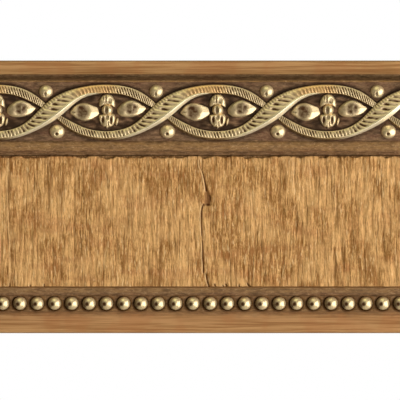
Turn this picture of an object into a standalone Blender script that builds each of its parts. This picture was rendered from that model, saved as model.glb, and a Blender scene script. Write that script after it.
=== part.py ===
"""A length of decorative wall moulding, moulded in one piece and cut square at both ends.

From the top down, its face has a wood ledge, a raised band with an interlaced ribbon
and flowers in its eyes, a wide wood panel, a channel with a row of beads, and a lower
wood ledge. The back is flat and lies against the wall.

Axes: +X runs along the moulding, +Z up the wall, and the face looks along -Y. The
origin is in the middle of the flat back.
"""

import math

import bmesh
import bpy
from mathutils import Matrix, Vector

MM = 0.001

LENGTH = 142.0 * MM

# The face's bands, stacked up from the lower edge.
LOWER_LEDGE_HEIGHT = 5.5 * MM
SKIRT_HEIGHT = 2.3 * MM
CHANNEL_HEIGHT = 5.55 * MM
LOWER_FILLET_HEIGHT = 2.65 * MM
SEAM_HEIGHT = 0.5 * MM
PANEL_HEIGHT = 45.9 * MM
GROOVE_HEIGHT = 1.5 * MM
UPPER_FILLET_HEIGHT = 3.7 * MM
FIELD_HEIGHT = 20.7 * MM
LIP_HEIGHT = 0.7 * MM
COVE_HEIGHT = 2.3 * MM
UPPER_LEDGE_HEIGHT = 4.7 * MM

# How far the main faces stand off the wall.
LOWER_LEDGE_DEPTH = 8.0 * MM
PANEL_LOWER_DEPTH = 14.2 * MM
PANEL_UPPER_DEPTH = 16.0 * MM
FIELD_DEPTH = 17.0 * MM
UPPER_LEDGE_DEPTH = 12.0 * MM

# The small members beside the panel's lower edge, measured from its face there.
LOWER_FILLET_RISE = 0.2 * MM
CHANNEL_EDGE_DROP = 1.4 * MM
CHANNEL_CUT = 0.8 * MM
SEAM_CUT = 0.7 * MM

# The small members beside the panel's upper edge and the ribbon's field.
GROOVE_CUT = 1.2 * MM
UPPER_FILLET_RISE = 1.0 * MM
LIP_RISE = 0.6 * MM

# The rounding of the ledges' outer corners and of the lower fillet's edge.
LEDGE_ROUND = 0.7 * MM
FILLET_ROUND = 0.9 * MM

# The row of beads in the channel.
BEAD_PITCH = 6.083 * MM
BEAD_PHASE = -2.53 * MM
BEAD_CLEARANCE = 0.425 * MM
BEAD_CENTRE_RISE = 0.5 * MM

# The interlaced ribbon. Each length of it is one full wave, two repeats long, which
# rises over its neighbours where it crosses them and tucks in under them at both ends.
REPEAT = 38.82 * MM
CROSSING_PHASE = -13.6 * MM
LOWER_MARGIN = 0.2 * MM
UPPER_MARGIN = 0.8 * MM
CROSSING_LIFT = 0.55 * MM
WAVE_FULLNESS = 0.42 * MM
TAIL_WIDTH = 1.8 * MM
TAIL_LENGTH = 9.0 * MM
ARC_WIDTH = 3.3 * MM
CROSSING_WIDTH = 6.2 * MM
SWELL_SHIFT = 1.7 * MM
SWELL_REACH = 7.0 * MM
TAIL_RISE = 0.9 * MM
ARC_RISE = 1.9 * MM
CROSSING_RISE = 3.0 * MM
CREASE_REACH = 20.0 * MM

# The berries: how far along X from the crossing, and clear of the field's edge.
UPPER_BERRY = {"along": -1.9 * MM, "clear": 1.05 * MM, "radius": 2.2 * MM}
LOWER_BERRY = {"along": 2.2 * MM, "clear": 0.9 * MM, "radius": 2.5 * MM}
BERRY_SINK = 0.2 * MM

# The flower in each eye, kept clear of the crossings and of the ribbon's arcs.
CROSSING_CLEARANCE = 5.9 * MM
ARC_CLEARANCE = 0.55 * MM
FLOWER_SHIFT = 0.45 * MM

# The flower's leaves and petals. Along is a share of the flower's length, and the other
# sizes are shares of its height. Sharp is 0 for a round tip and 1 for a pointed one, and
# turn is the tip's direction in degrees.
LEAVES = [
    {
        "name": "left_leaf",
        "along": -0.303,
        "up": -0.021,
        "half_length": 0.431,
        "half_width": 0.264,
        "rise": 0.16,
        "dish": 0.092,
        "sharp": 1.0,
        "turn": 184,
    },
    {
        "name": "right_leaf",
        "along": 0.317,
        "up": 0.071,
        "half_length": 0.426,
        "half_width": 0.246,
        "rise": 0.167,
        "dish": 0.067,
        "sharp": 1.0,
        "turn": 6,
    },
    {
        "name": "upper_left_petal",
        "along": -0.05,
        "up": 0.365,
        "half_length": 0.165,
        "half_width": 0.118,
        "rise": 0.158,
        "dish": 0.0,
        "sharp": 0.0,
        "turn": 82,
    },
    {
        "name": "upper_right_petal",
        "along": 0.05,
        "up": 0.365,
        "half_length": 0.165,
        "half_width": 0.118,
        "rise": 0.158,
        "dish": 0.0,
        "sharp": 0.0,
        "turn": 98,
    },
    {
        "name": "lower_left_petal",
        "along": -0.074,
        "up": -0.27,
        "half_length": 0.185,
        "half_width": 0.095,
        "rise": 0.142,
        "dish": 0.0,
        "sharp": 0.6,
        "turn": -68,
    },
    {
        "name": "lower_right_petal",
        "along": 0.066,
        "up": -0.27,
        "half_length": 0.185,
        "half_width": 0.095,
        "rise": 0.142,
        "dish": 0.0,
        "sharp": 0.6,
        "turn": -112,
    },
    {
        "name": "point",
        "along": -0.004,
        "up": -0.325,
        "half_length": 0.185,
        "half_width": 0.09,
        "rise": 0.158,
        "dish": 0.0,
        "sharp": 0.8,
        "turn": -90,
    },
    {
        "name": "button",
        "along": 0.01,
        "up": 0.056,
        "half_length": 0.175,
        "half_width": 0.165,
        "rise": 0.217,
        "dish": 0.0,
        "sharp": 0.0,
        "turn": 90,
    },
]

# A leaf's dish ends at this distance from its middle, as a share of its half length.
DISH_REACH = 0.72

# How deep the carving's hidden roots reach into the moulding.
ROOT_DEPTH = 1.5 * MM

# A ribbon's cross-section from its lower edge to its upper one, as shares of its half
# width and of its rise. The third number says how much of a crease a point takes.
RIBBON_SECTION = [
    (-1.0, 0.35, 0.0),
    (-0.9, 0.82, 0.0),
    (-0.72, 1.0, 0.0),
    (-0.5, 0.96, 0.12),
    (-0.36, 0.97, 0.3),
    (0.1, 0.92, 0.1),
    (0.6, 0.74, 0.0),
    (1.0, 0.3, 0.0),
]

# Where each band starts, counted up from the lower edge.
SKIRT = LOWER_LEDGE_HEIGHT
CHANNEL = SKIRT + SKIRT_HEIGHT
LOWER_FILLET = CHANNEL + CHANNEL_HEIGHT
SEAM = LOWER_FILLET + LOWER_FILLET_HEIGHT
PANEL = SEAM + SEAM_HEIGHT
GROOVE = PANEL + PANEL_HEIGHT
UPPER_FILLET = GROOVE + GROOVE_HEIGHT
FIELD = UPPER_FILLET + UPPER_FILLET_HEIGHT
LIP = FIELD + FIELD_HEIGHT
COVE = LIP + LIP_HEIGHT
UPPER_LEDGE = COVE + COVE_HEIGHT
HEIGHT = UPPER_LEDGE + UPPER_LEDGE_HEIGHT

# Depths that follow from the panel's face.
LOWER_FILLET_DEPTH = PANEL_LOWER_DEPTH + LOWER_FILLET_RISE
CHANNEL_EDGE_DEPTH = PANEL_LOWER_DEPTH - CHANNEL_EDGE_DROP
GROOVE_DEPTH = PANEL_UPPER_DEPTH - GROOVE_CUT

# Heights on the wall, where the moulding's middle is at zero.
BOTTOM = -HEIGHT / 2
CHANNEL_MIDDLE = BOTTOM + CHANNEL + CHANNEL_HEIGHT / 2
FIELD_BOTTOM = BOTTOM + FIELD
FIELD_TOP = BOTTOM + LIP

# The ribbon's arcs fill the field between its margins, and the flower fills an eye.
ARC_SWING = (FIELD_HEIGHT - LOWER_MARGIN - UPPER_MARGIN - ARC_WIDTH) / 2
WAVE_AXIS = FIELD_BOTTOM + LOWER_MARGIN + ARC_WIDTH / 2 + ARC_SWING
FLOWER_LENGTH = REPEAT - 2 * CROSSING_CLEARANCE
FLOWER_HEIGHT = 2 * ARC_SWING - ARC_WIDTH - 2 * ARC_CLEARANCE

BEAD_RADIUS = CHANNEL_HEIGHT / 2 - BEAD_CLEARANCE

ARC_STEPS = 5
RIBBON_STATIONS = 40
BALL_SIDES = 12
BALL_RINGS = 8
PETAL_SIDES = 8
PETAL_RINGS = 6

# The blocks that trim the ends are longer than any ornament reaches past them.
SAW_LENGTH = 4 * REPEAT

# A section drawn in the XY plane stands up with its height along Z and its depth
# towards -Y, and is extruded along X.
SECTION_TURN = Matrix(((0, 0, 1), (0, -1, 0), (1, 0, 0))).to_4x4()


def clear_scene():
    """Removes what the scene starts with."""
    for scene_object in list(bpy.data.objects):
        bpy.data.objects.remove(scene_object, do_unlink=True)


def new_collection(name):
    """A collection in the scene."""
    collection = bpy.data.collections.new(name)
    bpy.context.scene.collection.children.link(collection)
    return collection


def new_material(name, colour, roughness, metallic):
    """A plain Principled BSDF material."""
    material = bpy.data.materials.new(name)
    material.use_nodes = True
    shader = material.node_tree.nodes["Principled BSDF"]
    shader.inputs["Base Color"].default_value = (*colour, 1.0)
    shader.inputs["Roughness"].default_value = roughness
    shader.inputs["Metallic"].default_value = metallic
    material.diffuse_color = (*colour, 1.0)
    return material


def arc(centre, radii, start, end, steps=ARC_STEPS):
    """Points on an arc from one angle to the other, in degrees, ends included."""
    points = []
    for step in range(steps + 1):
        angle = math.radians(start + (end - start) * step / steps)
        across = centre[0] + radii[0] * math.cos(angle)
        out = centre[1] + radii[1] * math.sin(angle)
        points.append((across, out))
    return points


def lower_outline():
    """The ledge, skirt, bead channel, fillet and seam below the panel."""
    rounding = (LEDGE_ROUND, LEDGE_ROUND)
    corner = (LEDGE_ROUND, LOWER_LEDGE_DEPTH - LEDGE_ROUND)
    skirt = (SKIRT_HEIGHT, CHANNEL_EDGE_DEPTH - LOWER_LEDGE_DEPTH)
    channel = (CHANNEL_HEIGHT / 2, CHANNEL_CUT)
    channel_middle = (CHANNEL + CHANNEL_HEIGHT / 2, CHANNEL_EDGE_DEPTH)
    edge = (LOWER_FILLET + FILLET_ROUND, LOWER_FILLET_DEPTH - FILLET_ROUND)
    return [
        (0, 0),
        *arc(corner, rounding, 180, 90),
        *arc((SKIRT, CHANNEL_EDGE_DEPTH), skirt, 270, 355),
        *arc(channel_middle, channel, 180, 360, 2 * ARC_STEPS),
        *arc(edge, (FILLET_ROUND, FILLET_ROUND), 180, 90),
        (SEAM, LOWER_FILLET_DEPTH),
        (SEAM + SEAM_HEIGHT / 2, PANEL_LOWER_DEPTH - SEAM_CUT),
    ]


def upper_outline():
    """The groove, fillet, ribbon field, lip, cove and ledge above the panel."""
    fillet = (UPPER_FILLET + UPPER_FILLET_HEIGHT / 2, FIELD_DEPTH)
    lip = (LIP + LIP_HEIGHT / 2, FIELD_DEPTH)
    cove = (COVE_HEIGHT, FIELD_DEPTH - UPPER_LEDGE_DEPTH)
    corner = (HEIGHT - LEDGE_ROUND, UPPER_LEDGE_DEPTH - LEDGE_ROUND)
    return [
        (GROOVE, GROOVE_DEPTH),
        (UPPER_FILLET, GROOVE_DEPTH),
        *arc(fillet, (UPPER_FILLET_HEIGHT / 2, UPPER_FILLET_RISE), 180, 0),
        *arc(lip, (LIP_HEIGHT / 2, LIP_RISE), 180, 0),
        *arc((UPPER_LEDGE, FIELD_DEPTH), cove, 185, 270),
        *arc(corner, (LEDGE_ROUND, LEDGE_ROUND), 90, 0),
        (HEIGHT, 0),
    ]


def moulding_outline():
    """The whole section: height from the lower edge, depth from the wall."""
    panel = [(PANEL, PANEL_LOWER_DEPTH), (GROOVE, PANEL_UPPER_DEPTH)]
    return lower_outline() + panel + upper_outline()


def extruded_section(name, outline):
    """A section extruded to the moulding's length, as a filled 2D curve."""
    curve = bpy.data.curves.new(name, "CURVE")
    curve.dimensions = "2D"
    curve.fill_mode = "BOTH"
    curve.extrude = LENGTH / 2
    spline = curve.splines.new("POLY")
    spline.points.add(len(outline) - 1)
    for point, (height, out) in zip(spline.points, outline):
        point.co = (height, out, 0, 1)
    spline.use_cyclic_u = True
    curve_object = bpy.data.objects.new(name, curve)
    curve_object.matrix_world = Matrix.Translation((0, 0, BOTTOM)) @ SECTION_TURN
    return curve_object


def mesh_of_curve(curve_object, collection, material):
    """Turns a curve object into a closed mesh object of the same name."""
    bpy.context.scene.collection.objects.link(curve_object)
    bpy.context.view_layer.update()
    graph = bpy.context.evaluated_depsgraph_get()
    mesh = bpy.data.meshes.new_from_object(curve_object.evaluated_get(graph))
    shape = bmesh.new()
    shape.from_mesh(mesh)
    bmesh.ops.remove_doubles(shape, verts=shape.verts, dist=0.001 * MM)
    bmesh.ops.recalc_face_normals(shape, faces=shape.faces)
    shape.to_mesh(mesh)
    shape.free()
    name = curve_object.name
    matrix = curve_object.matrix_world.copy()
    bpy.data.objects.remove(curve_object, do_unlink=True)
    mesh_object = bpy.data.objects.new(name, mesh)
    mesh_object.matrix_world = matrix
    mesh.materials.clear()
    mesh.materials.append(material)
    collection.objects.link(mesh_object)
    return mesh_object


def add_helper(name, shape, collection):
    """Turns a bmesh into a shape that is only joined to or cut from the moulding."""
    bmesh.ops.recalc_face_normals(shape, faces=shape.faces)
    mesh = bpy.data.meshes.new(name)
    shape.to_mesh(mesh)
    shape.free()
    helper = bpy.data.objects.new(name, mesh)
    helper.hide_render = True
    helper.display_type = "WIRE"
    collection.objects.link(helper)
    return helper


def add_boolean(target, operation, collection):
    """Joins or cuts a piece with all that a collection holds."""
    modifier = target.modifiers.new(operation.title(), "BOOLEAN")
    modifier.operation = operation
    modifier.operand_type = "COLLECTION"
    modifier.collection = collection


def add_saw_cuts(collection):
    """A block past each end, which trims the ornament square to the length."""
    for side in (-1, 1):
        shape = bmesh.new()
        bmesh.ops.create_cube(shape, size=1.0)
        size = (SAW_LENGTH, 4 * FIELD_DEPTH, 2 * HEIGHT)
        bmesh.ops.scale(shape, vec=size, verts=shape.verts)
        block = add_helper(f"saw_cut_{side}", shape, collection)
        block.location.x = side * (LENGTH + SAW_LENGTH) / 2


def smooth_step(share):
    """Rises smoothly from 0 to 1 as its value does, and stays level beyond."""
    share = min(max(share, 0), 1)
    return share * share * (3 - 2 * share)


def wave(along):
    """How far a ribbon's middle lies above the wave's axis."""
    phase = math.pi * along / REPEAT
    arcs = (ARC_SWING + WAVE_FULLNESS) * math.sin(phase) + WAVE_FULLNESS * math.sin(3 * phase)
    return arcs + CROSSING_LIFT * math.cos(phase) ** 2


def wave_slope(along):
    """How steeply a ribbon climbs."""
    phase = math.pi * along / REPEAT
    arcs = (ARC_SWING + WAVE_FULLNESS) * math.cos(phase) + 3 * WAVE_FULLNESS * math.cos(3 * phase)
    return (arcs - CROSSING_LIFT * math.sin(2 * phase)) * math.pi / REPEAT


def ribbon_size(along):
    """A ribbon's width and rise, at a distance along X from its own crossing."""
    end = smooth_step((REPEAT - abs(along)) / TAIL_LENGTH)
    swell = math.exp(-(((along - SWELL_SHIFT) / SWELL_REACH) ** 2))
    width = TAIL_WIDTH + (ARC_WIDTH - TAIL_WIDTH) * end
    width += (CROSSING_WIDTH - ARC_WIDTH) * swell
    rise = TAIL_RISE + (ARC_RISE - TAIL_RISE) * end
    rise += (CROSSING_RISE - ARC_RISE) * swell
    return width, rise


def ribbon_ring(crossing, along):
    """The closed ring of points round a ribbon, at a distance from its crossing."""
    width, rise = ribbon_size(along)
    crease = smooth_step(1 - abs(along) / CREASE_REACH)
    centre = Vector((crossing + along, -FIELD_DEPTH, WAVE_AXIS + wave(along)))
    across = Vector((-wave_slope(along), 0, 1)).normalized()
    outline = [(-1.0, -ROOT_DEPTH), (1.0, -ROOT_DEPTH)]
    for side, high, dip in RIBBON_SECTION:
        outline.insert(-1, (side, rise * (high - dip * crease)))
    return [centre + across * side * width / 2 + Vector((0, -out, 0)) for side, out in outline]


def add_ribbon(name, crossing, collection):
    """One wave of ribbon, lofted through the rings along it."""
    shape = bmesh.new()
    rings = []
    for station in range(RIBBON_STATIONS + 1):
        along = REPEAT * (2 * station / RIBBON_STATIONS - 1)
        ring = ribbon_ring(crossing, along)
        rings.append([shape.verts.new(point) for point in ring])
    count = len(rings[0])
    for first, second in zip(rings, rings[1:]):
        for corner in range(count):
            after = (corner + 1) % count
            shape.faces.new((first[corner], first[after], second[after], second[corner]))
    shape.faces.new(rings[0])
    shape.faces.new(rings[-1])
    add_helper(name, shape, collection)


def shaped_leaf_point(point, leaf):
    """Where a point of a unit ball comes to lie on a leaf, before the leaf is turned."""
    along, out, across = point
    tip = (1 - max(along, 0) ** 2) ** (leaf["sharp"] / 2)
    hollow = 1 - (along**2 + across**2) / DISH_REACH**2
    height = -ROOT_DEPTH * out
    if out < 0:
        height = FLOWER_HEIGHT * (-leaf["rise"] * out - leaf["dish"] * max(0, hollow))
    return (
        along * leaf["half_length"] * FLOWER_HEIGHT,
        -height,
        across * tip * leaf["half_width"] * FLOWER_HEIGHT,
    )


def add_leaf(name, middle, leaf, collection):
    """A leaf or petal: a long dome with one tip, and a hollow where it is dished."""
    shape = bmesh.new()
    tips = Matrix.Rotation(math.radians(90), 4, "Y")
    sides = BALL_SIDES if leaf["dish"] else PETAL_SIDES
    rings = BALL_RINGS if leaf["dish"] else PETAL_RINGS
    bmesh.ops.create_uvsphere(
        shape, u_segments=sides, v_segments=rings, radius=1, matrix=tips
    )
    for vert in shape.verts:
        vert.co = shaped_leaf_point(vert.co, leaf)
    turn = Matrix.Rotation(-math.radians(leaf["turn"]), 3, "Y")
    bmesh.ops.rotate(shape, verts=shape.verts, cent=(0, 0, 0), matrix=turn)
    spread = Vector((leaf["along"] * FLOWER_LENGTH, 0, leaf["up"] * FLOWER_HEIGHT))
    bmesh.ops.translate(shape, verts=shape.verts, vec=middle + spread)
    add_helper(name, shape, collection)


def add_ball(name, place, radius, collection):
    """A berry or a bead: a round ball, with its pole facing out."""
    shape = bmesh.new()
    facing = Matrix.Rotation(math.radians(90), 4, "X")
    bmesh.ops.create_uvsphere(
        shape, u_segments=BALL_SIDES, v_segments=BALL_RINGS, radius=radius, matrix=facing
    )
    bmesh.ops.translate(shape, vec=place, verts=shape.verts)
    add_helper(name, shape, collection)


def places_along(phase, pitch, reach):
    """The places of a repeating shape that reach into the moulding's length."""
    first = math.ceil((-LENGTH / 2 - reach - phase) / pitch)
    last = math.floor((LENGTH / 2 + reach - phase) / pitch)
    return [phase + pitch * number for number in range(first, last + 1)]


def add_berries(number, crossing, collection):
    """The berry above a crossing and the one below it, each about half sunk."""
    depth = FIELD_DEPTH - BERRY_SINK
    upper = FIELD_TOP - UPPER_BERRY["clear"] - UPPER_BERRY["radius"]
    lower = FIELD_BOTTOM + LOWER_BERRY["clear"] + LOWER_BERRY["radius"]
    for name, berry, height in (("upper", UPPER_BERRY, upper), ("lower", LOWER_BERRY, lower)):
        place = (crossing + berry["along"], -depth, height)
        add_ball(f"{name}_berry_{number}", place, berry["radius"], collection)


def add_carving(collection):
    """The ribbons, berries and flowers on the raised band."""
    for number, crossing in enumerate(places_along(CROSSING_PHASE, REPEAT, REPEAT)):
        add_ribbon(f"ribbon_{number}", crossing, collection)
        add_berries(number, crossing, collection)
        middle = Vector((crossing + REPEAT / 2 + FLOWER_SHIFT, -FIELD_DEPTH, WAVE_AXIS))
        for leaf in LEAVES:
            add_leaf(f"{leaf['name']}_{number}", middle, leaf, collection)


def add_beads(collection):
    """The row of beads in the channel."""
    depth = CHANNEL_EDGE_DEPTH - CHANNEL_CUT + BEAD_CENTRE_RISE
    for number, along in enumerate(places_along(BEAD_PHASE, BEAD_PITCH, BEAD_RADIUS)):
        place = (along, -depth, CHANNEL_MIDDLE)
        add_ball(f"bead_{number}", place, BEAD_RADIUS, collection)


def main():
    clear_scene()
    group = new_collection("decorative_moulding")
    ornament = new_collection("ornament")
    saws = new_collection("saw_cuts")
    finish = new_material("wood_and_gold_finish", (0.42, 0.23, 0.09), 0.5, 0.0)
    add_carving(ornament)
    add_beads(ornament)
    add_saw_cuts(saws)
    body = mesh_of_curve(extruded_section("moulding", moulding_outline()), group, finish)
    add_boolean(body, "UNION", ornament)
    add_boolean(body, "DIFFERENCE", saws)


main()
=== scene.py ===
# %% [markdown]
# # A length of decorative wall moulding
#
# The real thing is taken to be one strip of rigid foam, moulded in one go and cut square
# at both ends. Its skin is painted: pale oak on the ledges and the wide panel, dark brown
# in the hollows, and old gold rubbed over the ribbon, the leaves and the beads.
#
# The packed model gives the true size and place of everything. This lesson makes the
# fine surface around it, in millimetres that are turned into metres by MM.

import math

import bpy
import numpy as np
from mathutils import Matrix, Vector, noise


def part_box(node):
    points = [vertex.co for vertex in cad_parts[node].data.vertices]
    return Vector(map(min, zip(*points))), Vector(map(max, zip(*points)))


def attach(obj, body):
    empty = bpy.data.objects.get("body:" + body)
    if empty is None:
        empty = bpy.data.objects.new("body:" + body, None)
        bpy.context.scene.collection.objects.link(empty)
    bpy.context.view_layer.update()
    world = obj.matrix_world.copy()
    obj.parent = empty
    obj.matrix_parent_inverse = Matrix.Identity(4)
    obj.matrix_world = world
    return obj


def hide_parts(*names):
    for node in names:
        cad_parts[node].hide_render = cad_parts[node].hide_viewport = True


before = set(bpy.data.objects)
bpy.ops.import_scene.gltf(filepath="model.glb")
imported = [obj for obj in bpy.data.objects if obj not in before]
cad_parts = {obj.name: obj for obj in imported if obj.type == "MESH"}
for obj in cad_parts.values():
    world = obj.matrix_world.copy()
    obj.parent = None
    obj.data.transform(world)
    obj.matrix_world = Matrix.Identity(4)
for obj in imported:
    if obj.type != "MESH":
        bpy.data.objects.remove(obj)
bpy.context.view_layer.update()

MM = 0.001
low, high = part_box("moulding")
LENGTH = high.x - low.x
HEIGHT = high.z - low.z
BOTTOM = low.z
print(f"The moulding is {LENGTH / MM:.1f} mm long and {HEIGHT / MM:.1f} mm high")

# %% [markdown]
# ## From the photo to the wall
#
# The photo looks straight at the face, so one scale turns its pixels into millimetres.
# The scale comes from the face's upper and lower edge. A crack or a leaf can then be
# placed by where it shows in the photo, and still lies on the real face.

# %% The photo's scale
PHOTO_SIZE = 400
UPPER_EDGE_PIXEL = 60.4
LOWER_EDGE_PIXEL = 333.4
PIXEL = HEIGHT / (LOWER_EDGE_PIXEL - UPPER_EDGE_PIXEL)


def on_face(x_pixel, y_pixel):
    """The X and Z, in metres, of a point that the photo shows on the face."""
    x = (x_pixel - PHOTO_SIZE / 2) * PIXEL
    z = BOTTOM + (LOWER_EDGE_PIXEL - y_pixel) * PIXEL
    return x, z


print(f"One pixel of the photo is {PIXEL / MM:.4f} mm")

# %% [markdown]
# ## Camera
#
# The photo has no perspective at all: it is as flat as a scan. A very long lens far
# away gives that look, and unlike an orthographic camera it can still be moved round
# the object for other views. The distance follows from the width that has to fit.

# %% Add the camera
CAMERA_LENS = 1000
FACE_DEPTH = 15.0 * MM

bpy.ops.object.select_all(action="DESELECT")
bpy.ops.object.camera_add(rotation=(math.radians(90), 0, 0))
camera = bpy.context.object
camera.name = "camera"
camera.data.lens = CAMERA_LENS
picture_width = PHOTO_SIZE * PIXEL
distance = picture_width * CAMERA_LENS / camera.data.sensor_width
eye_height = on_face(PHOTO_SIZE / 2, PHOTO_SIZE / 2)[1]
camera.location = (0, -FACE_DEPTH - distance, eye_height)
bpy.context.scene.camera = camera
print(f"The camera stands {distance:.2f} m away and sees {picture_width / MM:.1f} mm")

# %% [markdown]
# ## Studio light
#
# In the photo each bead is bright all over its right third, most of all low down, and
# slopes that face up are dark. So one light as large as a wall stands to the right and
# low, and nothing shines from the camera's side. A weaker one from above, a little to
# the left, turns that side olive. The world is white only where the camera sees it
# directly: as a light it would wash the relief out.

# %% Add the lights
KEY_DIRECTION = (66, -26)
KEY_DISTANCE = 1.7
KEY_SIZE = 4.0
KEY_POWER = 158
KEY_COLOUR = (1.0, 0.985, 0.955)
FILL_DIRECTION = (-14, 58)
FILL_DISTANCE = 1.8
FILL_SIZE = 1.5
FILL_POWER = 8
FILL_COLOUR = (0.95, 1.0, 0.6)
WORLD_GLOW = 0.12
WORLD_COLOUR = (1, 0.87, 0.68, 1)
WHITE = (1, 1, 1, 1)


def add_light(name, direction, distance, size, power, colour):
    """A square area light, at angles right of the camera and up, that points at the origin."""
    right, up = (math.radians(angle) for angle in direction)
    level = math.cos(up)
    place = distance * Vector((math.sin(right) * level, -math.cos(right) * level, math.sin(up)))
    bpy.ops.object.light_add(type="AREA", location=place)
    light = bpy.context.object
    light.name = name
    light.rotation_euler = (-place).to_track_quat("-Z", "Y").to_euler()
    light.data.size = size
    light.data.energy = power
    light.data.color = colour
    light.visible_camera = False


def add_background(tree, colour, strength):
    """A Background node with its colour and strength set."""
    node = tree.nodes.new("ShaderNodeBackground")
    node.inputs["Color"].default_value = colour
    node.inputs["Strength"].default_value = strength
    return node


add_light("key_light", KEY_DIRECTION, KEY_DISTANCE, KEY_SIZE, KEY_POWER, KEY_COLOUR)
add_light("fill_light", FILL_DIRECTION, FILL_DISTANCE, FILL_SIZE, FILL_POWER, FILL_COLOUR)

world = bpy.data.worlds.new("studio")
bpy.context.scene.world = world
world.use_nodes = True
sky = world.node_tree
sky.nodes.clear()
seen_white = add_background(sky, WHITE, 1.0)
dim_glow = add_background(sky, WORLD_COLOUR, WORLD_GLOW)
light_path = sky.nodes.new("ShaderNodeLightPath")
choice = sky.nodes.new("ShaderNodeMixShader")
sky_output = sky.nodes.new("ShaderNodeOutputWorld")
sky.links.new(light_path.outputs["Is Camera Ray"], choice.inputs["Fac"])
sky.links.new(dim_glow.outputs[0], choice.inputs[1])
sky.links.new(seen_white.outputs[0], choice.inputs[2])
sky.links.new(choice.outputs[0], sky_output.inputs["Surface"])
bpy.context.scene.view_settings.view_transform = "Standard"

# %% [markdown]
# ## Floor
#
# The moulding hangs on its flat back, so it stands on nothing. A pale floor lies well
# below it, where it is out of the photo's view and doesn't hide the low key light.

# %% Add the floor
FLOOR_DROP = 420.0 * MM
FLOOR_SIZE = 1.1
FLOOR_COLOUR = (0.8, 0.79, 0.77, 1)
FLOOR_ROUGHNESS = 0.8

bpy.ops.object.select_all(action="DESELECT")
bpy.ops.mesh.primitive_plane_add(size=FLOOR_SIZE, location=(0, 0, BOTTOM - FLOOR_DROP))
floor = bpy.context.object
floor.name = "floor"
bpy.ops.object.transform_apply(location=True, rotation=True, scale=True)
paint = bpy.data.materials.new("pale_floor")
paint.use_nodes = True
paint_shader = paint.node_tree.nodes["Principled BSDF"]
paint_shader.inputs["Base Color"].default_value = FLOOR_COLOUR
paint_shader.inputs["Roughness"].default_value = FLOOR_ROUGHNESS
floor.data.materials.append(paint)
print(f"The floor lies {FLOOR_DROP / MM:.0f} mm below the moulding")

# %% [markdown]
# ## Shader maths in plain Python
#
# A finish is built from many small sums: how dark, how worn, how deep. Wrapping a
# socket in a class with the usual operators lets such a sum be written as it is
# thought, and each operator adds its Math node. Colours go through Mix nodes, because
# a Math node would turn them grey.

# %% A socket that can be reckoned with


class Signal:
    """A node's output that is used in sums."""

    def __init__(self, tree, socket):
        self.tree = tree
        self.socket = socket

    def sum(self, operation, *values):
        """Adds one Math node that works on the given values."""
        node = self.tree.nodes.new("ShaderNodeMath")
        node.operation = operation
        for slot, value in zip(node.inputs, values):
            feed(self.tree, slot, value)
        return Signal(self.tree, node.outputs[0])

    def __add__(self, other):
        return self.sum("ADD", self, other)

    def __sub__(self, other):
        return self.sum("SUBTRACT", self, other)

    def __rsub__(self, other):
        return self.sum("SUBTRACT", other, self)

    def __mul__(self, other):
        return self.sum("MULTIPLY", self, other)

    __radd__ = __add__
    __rmul__ = __mul__

    def larger(self, other):
        return self.sum("MAXIMUM", self, other)

    def clipped(self):
        return self.sum("MINIMUM", self.sum("MAXIMUM", self, 0.0), 1.0)

    def rises(self, start, end):
        """0 up to the start, 1 from the end on, and a smooth slope between."""
        node = self.tree.nodes.new("ShaderNodeMapRange")
        node.interpolation_type = "SMOOTHSTEP"
        feed(self.tree, node.inputs["Value"], self)
        feed(self.tree, node.inputs["From Min"], start)
        feed(self.tree, node.inputs["From Max"], end)
        return Signal(self.tree, node.outputs["Result"])

    def falls(self, start, end):
        return 1 - self.rises(start, end)

    def between(self, start, end, softness):
        """1 between two values, with a soft edge at each."""
        after = self.rises(start - softness, start + softness)
        return after * self.falls(end - softness, end + softness)


def feed(tree, slot, value):
    """Links a signal or a socket to an input, or sets the input's plain value."""
    if isinstance(value, Signal):
        value = value.socket
    if isinstance(value, bpy.types.NodeSocket):
        tree.links.new(value, slot)
    elif hasattr(value, "__len__") and len(value) == 3 and slot.type == "RGBA":
        slot.default_value = (*value, 1.0)
    else:
        slot.default_value = value


def from_screen(red, green, blue):
    """A colour of 0 to 255 as a screen shows it, turned into the light it stands for."""
    shares = [part / 255 for part in (red, green, blue)]
    return tuple(part / 12.92 if part <= 0.04045 else ((part + 0.055) / 1.055) ** 2.4 for part in shares)


print("Oak on the screen and as light:", (186, 140, 86), [round(c, 3) for c in from_screen(186, 140, 86)])

# %% [markdown]
# ## A finish to paint with
#
# Each finish starts from the same few things: a Principled shader and the piece's own
# coordinates, in millimetres, so that a grain can be given at its real size.

# %% A new finish


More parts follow.
